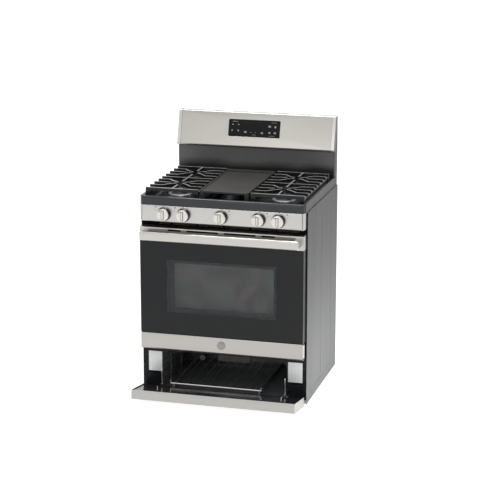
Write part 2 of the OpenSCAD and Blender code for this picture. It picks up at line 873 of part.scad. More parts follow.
module door_top_band() {
    t = 2;
    r = 4;
    slot_z = [774, 779.5];
    finish(stainless) difference() {
        along_x(-dw, dw) difference() {
            polygon(concat([[0, band_z], [door_d, band_z], [door_d, door_z1]],
                [for (a = [90:15:180]) [r + r * cos(a), door_z1 - r + r * sin(a)]]));
            translate([t, band_z - 1]) square([door_d, door_z1 - band_z + 1 - t]);
        }
        for (x = [[14, 156], [184, 242]]) both_sides()
            along_y(-1, 3.4) round_rect([x[0], slot_z[0]], [x[1], slot_z[1]], 2.6);
    }
    finish(stainless) both_sides() {
        block([dw - sheet, t, band_z], [dw, door_d, door_z1 - t]);
        // side skin behind the glass
        block([dw - sheet, 4.2, trim_z + 0.3], [dw, door_d, band_z + 1]);
    }
}

module door_glass() {
    finish(black_glass) block([-dw, 0, trim_z], [dw, 4, band_z]);
}

module door_lower_trim() {
    t = 2;
    r = 8;
    finish(stainless) {
        difference() {
            along_x(-dw, dw) difference() {
                polygon(rounded([[r, door_z0 + r], [shell_y + 10, door_z0 + r],
                    [shell_y + 10, trim_z - r], [r, trim_z - r]], r));
                polygon(rounded([[r, door_z0 + r], [shell_y + 12, door_z0 + r],
                    [shell_y + 12, trim_z + 4], [r, trim_z + 4]], r - t));
                translate([shell_y, door_z0 - 1]) square([30, 100]);
            }
            hinge_notch(9);
        }
        both_sides() block([dw - 1.6, 8, door_z0 + 8], [dw, shell_y, trim_z - 8]);
    }
}

module door_inner_panel() {
    t = 1.6;
    z0 = 238;
    plug_w = mouth_w - plug_gap;
    plug_z0 = mouth_z0 + plug_gap;
    plug_z1 = mouth_z1 - plug_gap;
    tunnel = [[-window_w, window_z0], [window_w, window_z1]];
    finish(black_enamel) difference() {
        union() {
            block([-dw + 4, shell_y, z0], [dw - 4, door_d, door_z1 - 3]);
            along_y(door_d - 1, plug_y) round_rect([-plug_w, plug_z0], [plug_w, plug_z1], 14);
        }
        // hollow behind the pressed skin, open towards the outer shell
        difference() {
            union() {
                block([-dw + 4 + t, shell_y - 1, z0 + t], [dw - 4 - t, door_d - t, door_z1 - 3 - t]);
                along_y(door_d - t - 1, plug_y - t)
                    round_rect([-plug_w + t, plug_z0 + t], [plug_w - t, plug_z1 - t], 13);
            }
            along_y(shell_y - 1, plug_y)
                round_rect([-window_w - 6, window_z0 - 6], [window_w + 6, window_z1 + 6], 8);
        }
        along_y(shell_y - 1, plug_y + 1) round_rect(tunnel[0], tunnel[1], 6);
        // seat of the inner pane
        along_y(plug_y - 8, plug_y - 3.9)
            round_rect([-window_w - 4, window_z0 - 4], [window_w + 4, window_z1 + 4], 6);
        hinge_notch(9);
    }
}

module door_inner_glass() {
    finish(clear_glass) along_y(plug_y - 8, plug_y - 4)
        round_rect([-window_w - 3.9, window_z0 - 3.9], [window_w + 3.9, window_z1 + 3.9], 6);
}

module door_handle() {
    finish(stainless) along_x(-handle_x, handle_x)
        round_rect([handle_y[0], handle_z[0]], [handle_y[1], handle_z[1]], 6);
}

module handle_brackets() {
    finish(zinc) both_sides() difference() {
        along_x(handle_x - 26, handle_x - 2)
            round_rect([handle_y[1], handle_z[0] + 3], [6, handle_z[1] - 3], 3);
        block([0, 0, band_z], [dw, 8, door_z1]);
    }
}

module door_hinge_arms() {
    cheek = [5, 8.8];
    finish(zinc) both_sides() {
        for (s = [[hinge_x - cheek[1], hinge_x - cheek[0]], [hinge_x + cheek[0], hinge_x + cheek[1]]])
            block([s[0], 9, hinge_z - 12], [s[1], shell_y - 1, hinge_z + 16]);
        translate([hinge_x - cheek[0], 0, 0])
            along_x(0, 2 * cheek[0]) translate([hinge_y, hinge_z]) circle(r = pin_r);
    }
}

// ---- broiler door: modelled closed, then swung open about its pins ----

module swung_open() {
    translate([0, broil_pivot.x, broil_pivot.y]) rotate([broil_open, 0, 0])
        translate([0, -broil_pivot.x, -broil_pivot.y]) children();
}

// Room for the frame's ears and the arms' hubs
module ear_notch() { both_sides() block([arm_x0 - 1.5, 16, broil_z0 - 2], [ear_x1 + 3, door_d + 1, 52]); }

module broil_door_front() {
    t = sheet;
    r = edge_r;
    finish(stainless) swung_open() difference() {
        along_x(-dw, dw) difference() {
            polygon(rounded(box_centres([0, broil_z0], [door_d + 10, broil_z1], r), r));
            polygon(rounded(box_centres([t, broil_z0 + t], [door_d + 14, broil_z1 - t], r - t), r - t));
            translate([door_d, 0]) square([30, 300]);
            // the bottom flange ends under the inner skin
            translate([37.2, 0]) square([30, broil_z0 + 10]);
        }
        ear_notch();
    }
    finish(stainless) swung_open() both_sides()
        block([dw - t, t, broil_z0 + t], [dw, door_d, broil_z1 - t]);
}

module broil_door_inner() {
    skin = [37.4, 39];
    finish(black_enamel) swung_open() difference() {
        union() {
            block([-dw + 2, skin[0], broil_z0 + 0.4], [dw - 2, skin[1], broil_z1 - 2]);
            both_sides() block([dw - 20, 2, broil_z0 + 8], [dw - 18, skin[0], broil_z1 - 8]);
        }
        ear_notch();
    }
}

module broil_hinge_arms() {
    inner_y = 39;
    finish(chrome) swung_open() both_sides() {
        along_x(arm_x0, arm_x1) difference() {
            union() {
                translate(broil_pivot) circle(r = 8);
                // foot along the inner skin
                translate([inner_y, broil_pivot.y]) square([9, 76]);
                // riser that swings into the compartment
                translate(broil_pivot) rotate(-broil_open) {
                    translate([-5, 0]) square([9, 88]);
                    translate([-0.5, 88]) circle(r = 4.5);
                }
            }
            translate(broil_pivot) rotate(-broil_open) translate([-0.5, 84]) circle(r = 1.6);
        }
        along_x(arm_x1, ear_x1 + 2) translate(broil_pivot) circle(r = broil_pin_r);
    }
}

// ---- racks ----

module oven_rack(z) {
    x = mouth_w - 7;
    y = [94, 520];
    n = 14;
    wire([[-x, y[0], z], [x, y[0], z], [x, y[1], z], [-x, y[1], z], [-x, y[0], z]], rack_r);
    translate([-x, y[0], z]) sphere(rack_r, $fn = 24);
    for (i = [1:n - 1])
        rod([-x + 2 * x * i / n, y[0], z + 2.6], [-x + 2 * x * i / n, y[1], z + 2.6], 1.8);
    rod([-x, (y[0] + y[1]) / 2, z], [x, (y[0] + y[1]) / 2, z], 2.4);
}

module oven_rack_upper() { finish(chrome) oven_rack(rack_levels[3]); }

module oven_rack_lower() { finish(chrome) oven_rack(rack_levels[1]); }

module broiler_rack() {
    x0 = -250;
    x1 = 172;
    y0 = 45;
    y1 = 500;
    z = broil_rack_z;
    n = 9;
    up = 16;
    finish(chrome) {
        wire([[x0, y0, z + up], [x0, y0, z], [x1, y0, z], [x1, y0, z + up]], 3);
        wire([[x0 + 8, y0, z], [x0 + 8, y1, z], [x1 - 8, y1, z], [x1 - 8, y0, z]], 3);
        for (i = [1:n])
            translate([0, 0, 2.2])
                rod([x0 + (x1 - x0) * i / (n + 1), y0 - 1, z], [x0 + (x1 - x0) * i / (n + 1), y1, z], 2);
    }
}

side_panel_left();
side_panel_right();
back_panel();
base_frame();
leveling_legs();
front_frame();
door_gasket();
oven_liner();
oven_insulation();
oven_floor();
oven_lamp();
temperature_probe();
oven_burner();
flame_spreader();
broiler_liner();
hinge_sockets();
control_panel();
gas_manifold();
burner_valves();
gas_regulator();
cooktop();
cooktop_side_trims();
burner_heads();
burner_caps();
igniters();
backguard_lower();
backguard_rear_cover();
console_panel();
console_end_caps();
display_glass();
control_board();
screws();
valve_stem_1();
valve_stem_2();
valve_stem_3();
valve_stem_4();
valve_stem_5();
knob_1();
knob_2();
knob_3();
knob_4();
knob_5();
grate_left();
grate_right();
griddle();
oven_rack_upper();
oven_rack_lower();
broiler_rack();
door_frame();
door_top_band();
door_glass();
door_lower_trim();
door_inner_panel();
door_inner_glass();
door_handle();
handle_brackets();
door_hinge_arms();
broil_door_front();
broil_door_inner();
broil_hinge_arms();
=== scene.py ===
"""Freestanding gas range: the looks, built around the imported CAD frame. Lengths in metres."""

import json
import math

import bmesh
import bpy
from mathutils import Matrix, Vector


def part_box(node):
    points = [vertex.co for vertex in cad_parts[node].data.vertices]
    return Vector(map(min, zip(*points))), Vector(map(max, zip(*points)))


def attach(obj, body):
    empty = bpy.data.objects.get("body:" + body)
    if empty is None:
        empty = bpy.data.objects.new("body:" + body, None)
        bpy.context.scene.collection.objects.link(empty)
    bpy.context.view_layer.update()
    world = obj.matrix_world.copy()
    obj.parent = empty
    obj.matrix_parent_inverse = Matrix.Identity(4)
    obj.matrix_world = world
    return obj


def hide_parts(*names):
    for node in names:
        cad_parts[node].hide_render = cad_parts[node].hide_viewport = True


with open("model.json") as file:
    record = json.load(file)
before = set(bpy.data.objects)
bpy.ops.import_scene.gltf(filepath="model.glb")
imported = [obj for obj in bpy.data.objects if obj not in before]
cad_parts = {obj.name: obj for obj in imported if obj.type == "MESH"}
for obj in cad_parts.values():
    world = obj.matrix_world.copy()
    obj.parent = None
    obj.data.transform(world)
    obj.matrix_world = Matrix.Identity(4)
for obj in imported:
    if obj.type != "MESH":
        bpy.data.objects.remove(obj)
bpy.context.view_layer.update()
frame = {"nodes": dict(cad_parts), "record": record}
NODES = frame["nodes"]
SLOT_OF = {p["node"]: p["material_slot"] for p in frame["record"]["subparts"]}
BODY_OF = {n: b for b, ns in frame["record"]["behaviour"]["bodies"].items() for n in ns}

MM = 0.001
# The closed oven door's front face, which the sizes below are measured from
FRONT_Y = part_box("door_glass")[0].y


def at(x, y, z):
    """A point given in millimetres from the centre line, the door's front face and the floor."""
    return Vector((x * MM, FRONT_Y + y * MM, z * MM))


# ---------------------------------------------------------------- shaders

class Shader:
    """A Principled material, with short calls that add the nodes of its detail."""

    def __init__(self, name, color, roughness, metallic=0.0, **sockets):
        self.material = bpy.data.materials.new(name)
        self.material.use_nodes = True
        self.tree = self.material.node_tree
        self.bsdf = self.tree.nodes["Principled BSDF"]
        self.bsdf.inputs["Base Color"].default_value = (*color, 1)
        self.bsdf.inputs["Roughness"].default_value = roughness
        self.bsdf.inputs["Metallic"].default_value = metallic
        for key, value in sockets.items():
            self.bsdf.inputs[key.replace("_", " ")].default_value = value

    def node(self, kind, **inputs):
        new = self.tree.nodes.new("ShaderNode" + kind)
        for key, value in inputs.items():
            self.feed(new.inputs[key.replace("_", " ")], value)
        return new

    def feed(self, socket, value):
        if isinstance(value, bpy.types.NodeSocket):
            self.tree.links.new(value, socket)
        else:
            socket.default_value = value

    def coords(self, scale=(1, 1, 1), turn=(0, 0, 0), shift=(0, 0, 0)):
        source = self.node("TexCoord").outputs["Object"]
        return self.node("Mapping", Vector=source, Scale=scale, Rotation=turn, Location=shift).outputs[0]

    def noise(self, vector, scale=1.0, detail=2.0, roughness=0.5, distortion=0.0):
        made = self.node("TexNoise", Vector=vector, Scale=scale, Detail=detail, Roughness=roughness,
                         Distortion=distortion)
        return made.outputs["Fac"]

    def cells(self, scale):
        return self.node("TexVoronoi", Vector=self.coords(), Scale=scale).outputs["Distance"]

    def span(self, value, low, high, from_low=0.0, from_high=1.0):
        made = self.node("MapRange", Value=value)
        made.inputs["From Min"].default_value = from_low
        made.inputs["From Max"].default_value = from_high
        made.inputs["To Min"].default_value = low
        made.inputs["To Max"].default_value = high
        return made.outputs["Result"]

    def mix(self, factor, a, b):
        made = self.tree.nodes.new("ShaderNodeMix")
        made.data_type = "RGBA"
        self.feed(made.inputs["Factor"], factor)
        self.feed(made.inputs[6], (*a, 1) if isinstance(a, tuple) else a)
        self.feed(made.inputs[7], (*b, 1) if isinstance(b, tuple) else b)
        return made.outputs[2]

    def blend(self, pattern, a, b, low=0.3, high=0.7, most=1.0):
        """Goes from colour a towards b while the pattern rises from low to high."""
        return self.mix(self.span(pattern, 0.0, most, low, high), a, b)

    def place(self, axis):
        """The coordinate along an axis, in metres."""
        return self.node("SeparateXYZ", Vector=self.coords()).outputs[axis]

    def facing(self, axis):
        """How far the surface faces along an axis, -1 to 1."""
        normal = self.node("NewGeometry").outputs["Normal"]
        return self.node("SeparateXYZ", Vector=normal).outputs[axis]

    def math(self, operation, a, b=0.0):
        made = self.tree.nodes.new("ShaderNodeMath")
        made.operation = operation
        self.feed(made.inputs[0], a)
        self.feed(made.inputs[1], b)
        return made.outputs[0]

    def bump(self, height, strength, distance, normal=None):
        made = self.node("Bump", Height=height, Strength=strength, Distance=distance)
        if normal is not None:
            self.tree.links.new(normal, made.inputs["Normal"])
        return made.outputs["Normal"]

    def set(self, **sockets):
        for key, value in sockets.items():
            self.feed(self.bsdf.inputs[key.replace("_", " ")], value)
        return self


def scaled(color, factor):
    """A colour made lighter or darker, at most white."""
    return tuple(min(1, factor * c) for c in color)


BARE_STEEL = (0.5, 0.49, 0.468)
# Noise stretched along x, as brushing leaves it
BRUSHED_X = (7, 900, 900)


def stainless(name, color=BARE_STEEL):
    """Brushed steel whose grain runs along x."""
    s = Shader(name, color, 0.3, 1.0)
    fine = s.noise(s.coords(BRUSHED_X), detail=4, roughness=0.65)
    broad = s.noise(s.coords((1.3, 60, 60)), detail=2)
    cloud = s.noise(s.coords((3, 3, 5)), detail=2)
    tone = s.blend(fine, scaled(color, 0.9), color)
    tone = s.mix(s.span(cloud, 0.0, 0.25), tone, scaled(color, 1.07))
    rough = s.math("ADD", s.span(fine, 0.24, 0.36), s.span(broad, -0.03, 0.05))
    return s.set(Base_Color=tone, Roughness=rough, Normal=s.bump(fine, 0.12, 0.0004)).material


def enamel_with_painted_shade(name):
    """Black enamel, with painted shade above the oven door: near black and dull there."""
    color, shade_from, shade_full = (0.006, 0.0065, 0.008), 0.74, 0.77
    s = Shader(name, color, 0.2, 0.0, Specular_IOR_Level=0.15)
    wipes = s.noise(s.coords((9, 9, 30)), detail=4, roughness=0.6)
    soot_and_painted_shade = s.span(s.place("Z"), 0.0, 1.0, shade_from, shade_full)
    tone = s.blend(wipes, color, (0.012, 0.013, 0.015), 0.45, 0.8, most=0.6)
    # Painted shade: near black and dull above the oven door
    tone = s.mix(soot_and_painted_shade, tone, (0.002, 0.002, 0.002))
    rough = s.math("MAXIMUM", s.span(wipes, 0.16, 0.4, 0.35, 0.75), s.span(soot_and_painted_shade, 0.0, 0.95))
    return s.set(Base_Color=tone, Roughness=rough).material


def band_steel(name):
    """Brushed steel band; the door's side skins below it are black."""
    skin_top = 0.723
    s = Shader(name, BARE_STEEL, 0.3, 1.0, Specular_IOR_Level=0.1)
    fine = s.noise(s.coords(BRUSHED_X), detail=4, roughness=0.65)
    skin = s.span(s.place("Z"), 1.0, 0.0, skin_top - MM, skin_top + MM)
    tone = s.blend(fine, scaled(BARE_STEEL, 0.9), BARE_STEEL)
    tone = s.mix(skin, tone, (0.02, 0.021, 0.023))
    return s.set(Base_Color=tone, Metallic=s.span(skin, 1.0, 0.0), Roughness=s.span(fine, 0.25, 0.38),
                 Normal=s.bump(fine, 0.12, 0.0004)).material


def cap_steel(name):
    """Brushed steel whose outer cheeks, square to x, are painted grey."""
    steel, paint = (0.5, 0.49, 0.47), (0.13, 0.132, 0.131)
    s = Shader(name, steel, 0.32, 1.0)
    fine = s.noise(s.coords((900, 900, 7)), detail=4)
    cheek = s.span(s.math("ABSOLUTE", s.facing("X")), 0.0, 1.0, 0.8, 0.95)
    tone = s.blend(fine, scaled(steel, 0.92), steel)
    tone = s.mix(cheek, tone, paint)
    return s.set(Base_Color=tone, Metallic=s.span(cheek, 1.0, 0.1), Roughness=s.span(cheek, 0.32, 0.55),
                 Normal=s.bump(fine, 0.05, 0.0002)).material


def metallic_paint(name, color):
    """Satin grey paint with fine metal flake and slight orange peel."""
    s = Shader(name, color, 0.55, 0.0, Specular_IOR_Level=0.09)
    flake = s.noise(s.coords(), 2600, detail=1)
    streak = s.noise(s.coords((25, 25, 1.2)), detail=3)
    peel = s.noise(s.coords(), 420, detail=2)
    tone = s.blend(flake, scaled(color, 0.9), scaled(color, 1.25), 0.35, 0.75, most=0.5)
    tone = s.blend(streak, tone, scaled(color, 0.82), 0.3, 0.8, most=0.35)
    return s.set(Base_Color=tone, Roughness=s.span(streak, 0.6, 0.75),
                 Normal=s.bump(peel, 0.06, 0.0003)).material


def enamel(name, color, speckle=0.0, gloss=0.13, specular=0.45):
    """Fired enamel: glossy, slightly wavy, with wipe marks and, in an oven, fine pale specks."""
    s = Shader(name, color, gloss, 0.0, Specular_IOR_Level=specular)
    wave = s.noise(s.coords(), 55, detail=1)
    peel = s.noise(s.coords(), 900, detail=2)
    wipes = s.noise(s.coords((9, 9, 30), turn=(0.3, 0.2, 0.5)), detail=4, roughness=0.6)
    tone = s.blend(wipes, color, tuple(1.5 * c + 0.006 for c in color), 0.45, 0.8, most=0.6)
    if speckle:
        tone = s.mix(s.span(s.cells(700), speckle, 0.0, 0.1, 0.2), tone, (0.45, 0.46, 0.48))
    normal = s.bump(peel, 0.05, 0.0002, s.bump(wave, 0.03, 0.001))
    return s.set(Base_Color=tone, Roughness=s.span(wipes, gloss * 0.7, gloss * 2.0, 0.35, 0.75),
                 Normal=normal).material


def cast_iron(name):
    """Sand-cast grain under black enamel, greyer where pans rub the top."""
    s = Shader(name, (0.012, 0.012, 0.013), 0.3, 0.0, Specular_IOR_Level=0.25)
    sand = s.noise(s.coords(), 650, detail=4, roughness=0.65)
    pits = s.cells(420)
    patch = s.noise(s.coords(), 40, detail=3)
    on_top = s.span(s.facing("Z"), 0.0, 1.0, 0.55, 0.95)
    rub = s.math("MULTIPLY", on_top, s.span(patch, 0.55, 1.0, 0.35, 0.65))
    tone = s.blend(sand, (0.008, 0.008, 0.009), (0.018, 0.018, 0.019), 0.35, 0.7)
    tone = s.mix(rub, tone, (0.21, 0.21, 0.208))
    normal = s.bump(sand, 0.08, 0.0004, s.bump(pits, 0.04, 0.0004))
    return s.set(Base_Color=tone, Roughness=s.span(sand, 0.2, 0.34), Normal=normal).material


def griddle_coat(name):
    """Dark non-stick coating with a fine orange-peel texture and faint scraper marks."""
    color = (0.0195, 0.019, 0.0168)
    s = Shader(name, color, 0.42, 0.0, Specular_IOR_Level=0.24)
    peel = s.noise(s.coords(), 1100, detail=3)
    marks = s.noise(s.coords((400, 6, 400)), detail=3)
    cloud = s.noise(s.coords(), 9, detail=3)
    tone = s.blend(cloud, scaled(color, 0.85), scaled(color, 1.15))
    tone = s.blend(marks, tone, (0.042, 0.04, 0.037), 0.55, 0.8, most=0.3)
    return s.set(Base_Color=tone, Roughness=s.span(peel, 0.36, 0.5, 0.3, 0.7),
                 Normal=s.bump(peel, 0.15, 0.0003)).material


def satin_metal(name, color, low, high, metallic=1.0):
    """Small metal parts: fine turned or drawn grain and slight tarnish."""
    s = Shader(name, color, low, metallic)
    fine = s.noise(s.coords(), 700, detail=3)
    tarnish = s.noise(s.coords(), 30, detail=3)
    tone = s.blend(tarnish, color, scaled(color, 0.7), 0.4, 0.8, most=0.5)
    return s.set(Base_Color=tone, Roughness=s.span(fine, low, high, 0.3, 0.7),
                 Normal=s.bump(fine, 0.05, 0.0002)).material


def galvanised(name):
    """Zinc-coated sheet with its crystal spangle."""
    s = Shader(name, (0.45, 0.46, 0.47), 0.4, 0.85)
    spangle = s.node("TexVoronoi", Vector=s.coords(), Scale=70)
    grey = s.node("SeparateColor", Color=spangle.outputs["Color"]).outputs[0]
    haze = s.noise(s.coords(), 12, detail=3)
    tone = s.mix(grey, (0.36, 0.37, 0.385), (0.52, 0.53, 0.54))
    tone = s.mix(s.span(haze, 0.0, 0.5), tone, (0.4, 0.41, 0.42))
    return s.set(Base_Color=tone, Roughness=s.span(grey, 0.3, 0.5),
                 Normal=s.bump(grey, 0.04, 0.0003)).material


def knob_finish(name):
    """Satin nickel-coloured knob: fine grain and a slight warm cast."""
    color = (0.6, 0.575, 0.53)
    s = Shader(name, color, 0.3, 0.85, Coat_Weight=0.2, Coat_Roughness=0.15)
    grain = s.noise(s.coords((60, 1500, 1500)), detail=3)
    cloud = s.noise(s.coords(), 60, detail=2)
    tone = s.blend(cloud, color, (0.68, 0.66, 0.62), most=0.4)
    return s.set(Base_Color=tone, Roughness=s.span(grain, 0.26, 0.38),
                 Normal=s.bump(grain, 0.05, 0.0002)).material


def oven_door_glass(name):
    """Black printed glass, clear inside the window."""
    s = Shader(name, (0.012, 0.013, 0.015), 0.06, 0.0, Specular_IOR_Level=0.27)
    half_width, half_height, middle_z = 0.251, 0.1205, 0.5215
    across = s.math("SUBTRACT", s.math("ABSOLUTE", s.place("X")), half_width)
    above = s.math("ABSOLUTE", s.math("SUBTRACT", s.place("Z"), middle_z))
    rise = s.math("SUBTRACT", above, half_height)
    # The print's edge, soft over about 1.5 mm
    inside = s.span(s.math("MAXIMUM", across, rise), 1.0, 0.0, -0.0012, 0.0004)
    smear = s.noise(s.coords((4, 4, 9), turn=(0, 0.5, 0)), detail=5, roughness=0.6)
    tint = s.mix(inside, (0.003, 0.0035, 0.0045), (0.05, 0.055, 0.056))
    return s.set(Base_Color=tint, Alpha=s.span(inside, 1.0, 0.4),
                 Roughness=s.span(smear, 0.03, 0.09, 0.4, 0.8)).material


def coated_pane(name):
    """Inner pane with a heat-reflecting coating that shows faint green and pink clouds."""
    s = Shader(name, (0.3, 0.32, 0.31), 0.12, 0.0)
    first = s.noise(s.coords((1, 1, 0.7), shift=(0.3, 0, 0.1)), 13, detail=0)
    second = s.noise(s.coords(shift=(1.7, 0, 0.9)), 16, detail=0)
    tone = s.blend(first, (0.37, 0.315, 0.33), (0.4, 0.54, 0.46))
    tone = s.blend(second, tone, (0.62, 0.47, 0.54), 0.45, 0.75, most=0.8)
    return s.set(Base_Color=tone, Alpha=0.56).material


def display_black(name):
    """Gloss black display with faint wipe marks."""
    s = Shader(name, (0.005, 0.005, 0.005), 0.08, 0.0, Specular_IOR_Level=0.06)
    smear = s.noise(s.coords((12, 12, 30)), detail=4)
    tone = s.blend(smear, (0.005, 0.005, 0.005), (0.009, 0.009, 0.009), 0.4, 0.8)
    return s.set(Base_Color=tone, Roughness=s.span(smear, 0.06, 0.16, 0.4, 0.8)).material


def satin_enamel(name, color):
    """Satin black enamel, a little cloudy from wiping, and darker at its foot behind the grates: painted
    shade.
    """
    painted_shade_z = (0.955, 0.985)
    s = Shader(name, color, 0.4, 0.0, Specular_IOR_Level=0.4)
    cloud = s.noise(s.coords((3, 3, 6)), detail=3)
    grain = s.noise(s.coords(), 1100, detail=2)
    height = s.math("ADD", s.place("Z"), s.span(cloud, -0.03, 0.03))
    tone = s.blend(cloud, color, scaled(color, 1.2), 0.35, 0.7)
    # Painted shade: darker towards the foot, under the grates
    tone = s.mix(s.span(height, 1.0, 0.0, *painted_shade_z), tone, (0.008, 0.008, 0.009))
    return s.set(Base_Color=tone, Roughness=s.span(cloud, 0.34, 0.46, 0.35, 0.7),
                 Normal=s.bump(grain, 0.05, 0.0002)).material


def fibre(name, color, scale):
    """Braided or matted glass fibre."""
    s = Shader(name, color, 0.9, 0.0, Sheen_Weight=0.2)
    threads = s.noise(s.coords(), scale, detail=5, roughness=0.7, distortion=1.5)
    tone = s.blend(threads, scaled(color, 0.7), scaled(color, 1.2))
    return s.set(Base_Color=tone, Normal=s.bump(threads, 0.6, 0.002)).material


def ceramic(name):
    """Unglazed white ceramic, slightly sooted."""
    s = Shader(name, (0.8, 0.78, 0.74), 0.6)
    soot_and_painted_shade = s.noise(s.coords(), 160, detail=3)
    tone = s.blend(soot_and_painted_shade, (0.82, 0.8, 0.76), (0.4, 0.38, 0.35), 0.5, 0.8, most=0.6)
    return s.set(Base_Color=tone, Normal=s.bump(soot_and_painted_shade, 0.1, 0.0003)).material


def circuit_board(name):
    """Green solder mask with copper traces under it."""
    s = Shader(name, (0.02, 0.13, 0.05), 0.35)
    traces = s.node("TexBrick", Vector=s.coords(), Scale=90)
    tone = s.mix(traces.outputs["Fac"], (0.02, 0.13, 0.05), (0.05, 0.22, 0.09))
    return s.set(Base_Color=tone).material


def satin_black_shade(name):
    """Satin black, used as painted shade."""
    s = Shader(name, (0.02, 0.02, 0.021), 0.35)
    grain = s.noise(s.coords(), 900, detail=2)
    tone = s.blend(grain, (0.016, 0.016, 0.017), (0.028, 0.028, 0.029))
    return s.set(Base_Color=tone, Normal=s.bump(grain, 0.1, 0.0002)).material


def ink(name, color):
    """Dark printing ink, slightly uneven."""
    s = Shader(name, color, 0.6)
    grain = s.noise(s.coords(), 1500, detail=2)
    tone = s.blend(grain, scaled(color, 0.7), scaled(color, 1.5))
    return s.set(Base_Color=tone).material


def pictogram(name):
    """Pale grey printing under the display glass."""
    s = Shader(name, (0.2, 0.2, 0.2), 0.3)
    grain = s.noise(s.coords(), 700, detail=2)
    tone = s.blend(grain, (0.13, 0.13, 0.13), (0.27, 0.27, 0.27))
    return s.set(Base_Color=tone).material


def label_face(name):
    """Blank silver rating plate."""
    s = Shader(name, (0.6, 0.61, 0.61), 0.42, 0.25)
    fine = s.noise(s.coords((900, 900, 8)), detail=3)
    tone = s.blend(fine, (0.55, 0.56, 0.56), (0.66, 0.67, 0.67))
    return s.set(Base_Color=tone, Normal=s.bump(fine, 0.05, 0.0002)).material


def floor_finish(name):
    """Pale studio floor, faintly mottled."""
    s = Shader(name, (0.35, 0.35, 0.35), 0.8, 0.0, Emission_Color=(1, 1, 1, 1), Emission_Strength=0.85)
    mottle = s.noise(s.coords(), 3, detail=3)
    tone = s.blend(mottle, (0.34, 0.34, 0.34), (0.37, 0.37, 0.37))
    return s.set(Base_Color=tone).material


MATERIAL = {
    "grey_paint": metallic_paint("grey_paint", (0.122, 0.124, 0.123)),
    "zinc_steel": galvanised("zinc_steel"),
    "black_enamel": enamel("black_enamel", (0.014, 0.015, 0.018)),
    "porcelain": enamel("porcelain", (0.02, 0.021, 0.024), speckle=0.6, gloss=0.2),
    "gasket_braid": fibre("gasket_braid", (0.05, 0.05, 0.05), 700),
    "glass_wool": fibre("glass_wool", (0.6, 0.52, 0.3), 120),
    "lamp_glass": satin_metal("lamp_glass", (0.85, 0.83, 0.76), 0.1, 0.2, metallic=0.0),
    "chrome_wire": satin_metal("chrome_wire", (0.78, 0.77, 0.74), 0.12, 0.25),
    "aluminised_steel": satin_metal("aluminised_steel", (0.36, 0.36, 0.37), 0.35, 0.5),
    "stainless": stainless("stainless"),
    "brass": satin_metal("brass", (0.6, 0.44, 0.2), 0.25, 0.4),
    "aluminium": satin_metal("aluminium", (0.27, 0.27, 0.275), 0.45, 0.6),
    "ceramic": ceramic("ceramic"),
    "display": display_black("display"),
    "circuit_board": circuit_board("circuit_board"),
    "knob_metal": knob_finish("knob_metal"),
    "cast_iron": cast_iron("cast_iron"),
    "griddle_metal": griddle_coat("griddle_metal"),
    "door_glass": oven_door_glass("door_glass"),
    "clear_glass": coated_pane("clear_glass"),
}
ENAMEL_WITH_PAINTED_SHADE = enamel_with_painted_shade("enamel_with_painted_shade")
# Nodes whose finish differs from the rest of their slot
OWN_FINISH = {
    "backguard_lower": satin_enamel("guard_enamel", (0.078, 0.079, 0.081)),
    "broiler_liner": enamel("liner_enamel", (0.1, 0.104, 0.11), gloss=0.12, specular=1.0),
    # The console, lower trim and broiler door take darker copies of the same steel: painted shade
    "console_panel": stainless("console_steel", (0.41, 0.397, 0.37)),
    "console_end_caps": cap_steel("cap_steel"),
    # Darker copies of the steel: painted shade
    "door_lower_trim": stainless("trim_steel", (0.42, 0.405, 0.38)),
    "broil_door_front": stainless("broiler_door_steel", (0.42, 0.408, 0.388)),
    "oven_burner": satin_metal("sooted_steel", (0.055, 0.054, 0.056), 0.35, 0.5),
    "flame_spreader": satin_metal("sooted_aluminium", (0.06, 0.06, 0.064), 0.35, 0.5),
    "door_top_band": band_steel("band_steel"),
    "door_inner_panel": ENAMEL_WITH_PAINTED_SHADE,
    "door_frame": ENAMEL_WITH_PAINTED_SHADE,
    "front_frame": ENAMEL_WITH_PAINTED_SHADE,
}


def finish_of(node):
    """The material of a CAD node: its own, or else its slot's."""
    return OWN_FINISH.get(node, MATERIAL[SLOT_OF[node]])


for node_name, node_object in NODES.items():
    node_object.data.materials.clear()
    node_object.data.materials.append(finish_of(node_name))


# ---------------------------------------------------------------- mesh helpers

def add_piece(name, bm, body, slot, material=None, smooth=35):
    """A new mesh piece that rides on a body, with smooth shading up to an angle in degrees."""
    bmesh.ops.recalc_face_normals(bm, faces=bm.faces)
    mesh = bpy.data.meshes.new(name)
    bm.to_mesh(mesh)
    bm.free()
    mesh.materials.append(material or MATERIAL[slot])
    mesh.shade_smooth()
    mesh.set_sharp_from_angle(angle=math.radians(smooth))
    piece = bpy.data.objects.new(name, mesh)
    bpy.context.scene.collection.objects.link(piece)
    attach(piece, body)
    return piece


def node_mesh(node):
    """The CAD node's mesh, welded and with flat faces joined up again."""
    bm = bmesh.new()
    bm.from_mesh(NODES[node].data)
    bmesh.ops.remove_doubles(bm, verts=bm.verts, dist=2e-6)
    bmesh.ops.dissolve_limit(bm, angle_limit=math.radians(0.5), verts=bm.verts, edges=bm.edges)
    return bm


def softened(node, width):
    """The CAD node with its sharp edges rounded, standing for that node."""
    piece = add_piece(node + "_soft", node_mesh(node), BODY_OF[node], SLOT_OF[node], finish_of(node))
    bevel = piece.modifiers.new("bevel", "BEVEL")
    bevel.width = width * MM
    bevel.segments = 3 if width > WIDE_ROUNDING else 2
    bevel.limit_method = "ANGLE"
    bevel.angle_limit = math.radians(30)
    bevel.harden_normals = True
    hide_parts(node)


